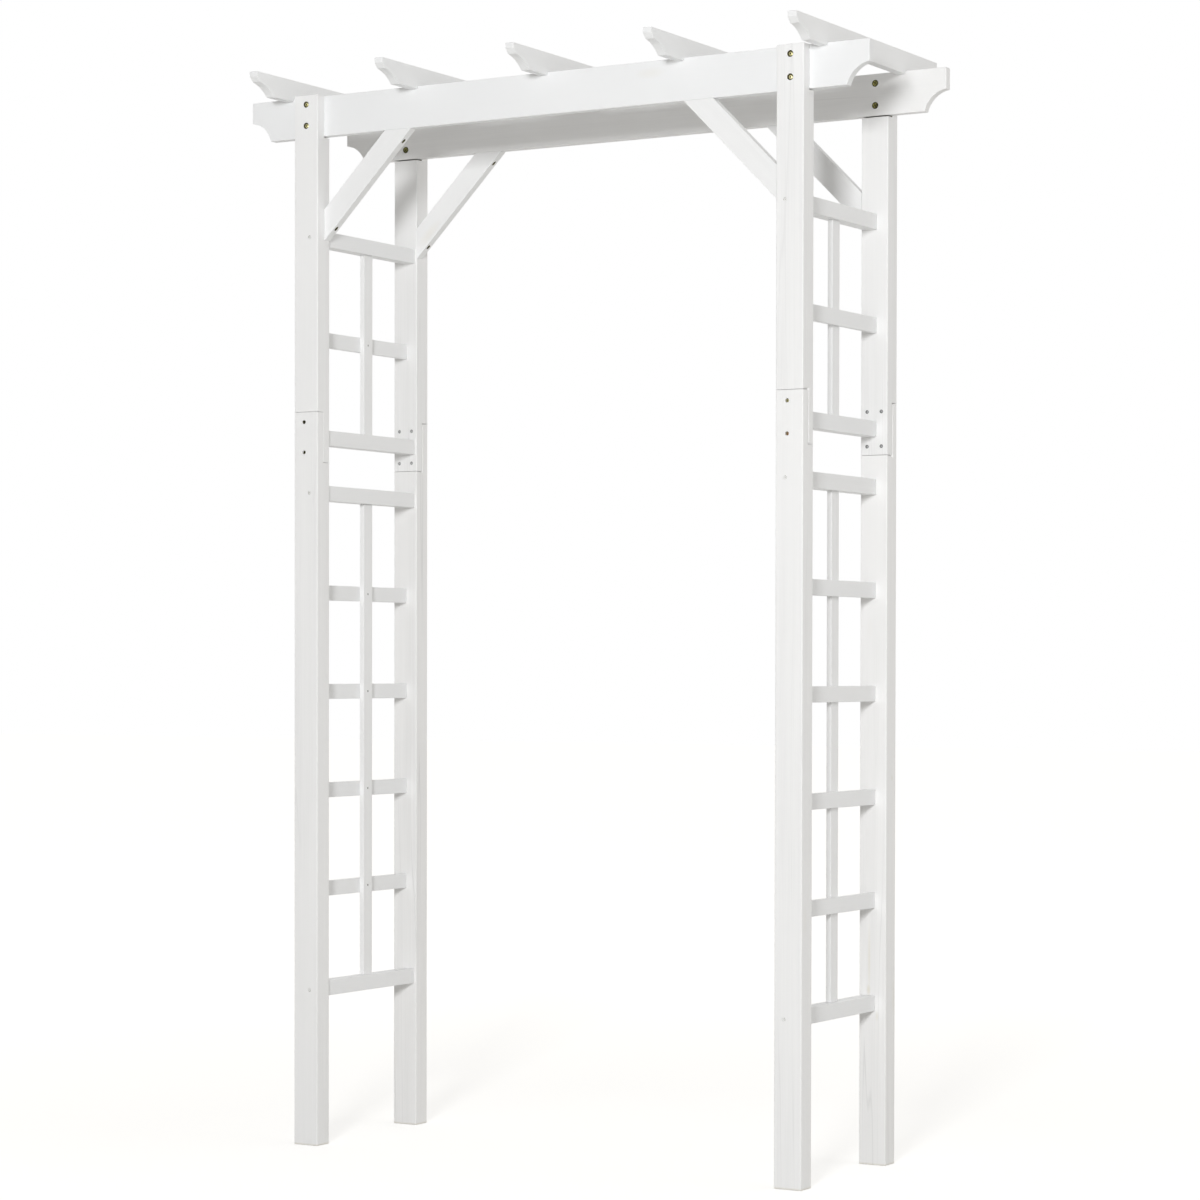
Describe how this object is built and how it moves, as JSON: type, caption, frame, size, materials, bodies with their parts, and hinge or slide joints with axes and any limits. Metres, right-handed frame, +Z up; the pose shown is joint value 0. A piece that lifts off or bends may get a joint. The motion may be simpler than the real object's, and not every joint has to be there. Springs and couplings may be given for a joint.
{
  "type": "garden arbour",
  "caption": "Walk-through garden arbour of white painted timber: half-lapped posts, beams in rabbets, notched rafters, corner braces and a trellis panel on each side.",
  "frame": {"origin": "middle of the footprint of the four posts, on the ground", "axes": "+X to the right along the beams, +Y from the front to the back through the archway, +Z up"},
  "size_m": [1.372, 0.592, 2.117],
  "materials": {
    "paint": "smooth timber with white satin paint",
    "yellow_zinc": "yellow zinc-plated steel",
    "grey_zinc": "grey zinc-plated steel",
    "painted_steel": "steel screws and nails whose heads are painted over"
  },
  "bodies": {
    "root": {"post_lower_front_left": "paint", "post_lower_front_right": "paint", "post_lower_rear_left": "paint", "post_lower_rear_right": "paint", "post_upper_front_left": "paint", "post_upper_front_right": "paint", "post_upper_rear_left": "paint", "post_upper_rear_right": "paint", "beam_front": "paint", "beam_rear": "paint", "rafter_1": "paint", "rafter_2": "paint", "rafter_3": "paint", "rafter_4": "paint", "rafter_5": "paint", "brace_front_left": "paint", "brace_front_right": "paint", "brace_rear_left": "paint", "brace_rear_right": "paint", "upper_top_rail_left": "paint", "upper_mid_rail_left": "paint", "upper_bottom_rail_left": "paint", "upper_slat_left": "paint", "lower_top_rail_left": "paint", "lower_mid_rail_1_left": "paint", "lower_mid_rail_2_left": "paint", "lower_mid_rail_3_left": "paint", "lower_mid_rail_4_left": "paint", "lower_bottom_rail_left": "paint", "lower_slat_left": "paint", "upper_top_rail_right": "paint", "upper_mid_rail_right": "paint", "upper_bottom_rail_right": "paint", "upper_slat_right": "paint", "lower_top_rail_right": "paint", "lower_mid_rail_1_right": "paint", "lower_mid_rail_2_right": "paint", "lower_mid_rail_3_right": "paint", "lower_mid_rail_4_right": "paint", "lower_bottom_rail_right": "paint", "lower_slat_right": "paint", "beam_bolts": "yellow_zinc", "beam_sleeve_nuts": "yellow_zinc", "lap_screws_outer": "yellow_zinc", "lap_screws_inner": "grey_zinc", "brace_screws": "grey_zinc", "rafter_screws": "grey_zinc", "rail_screws": "painted_steel", "slat_nails": "painted_steel"}
  },
  "joints": []
}
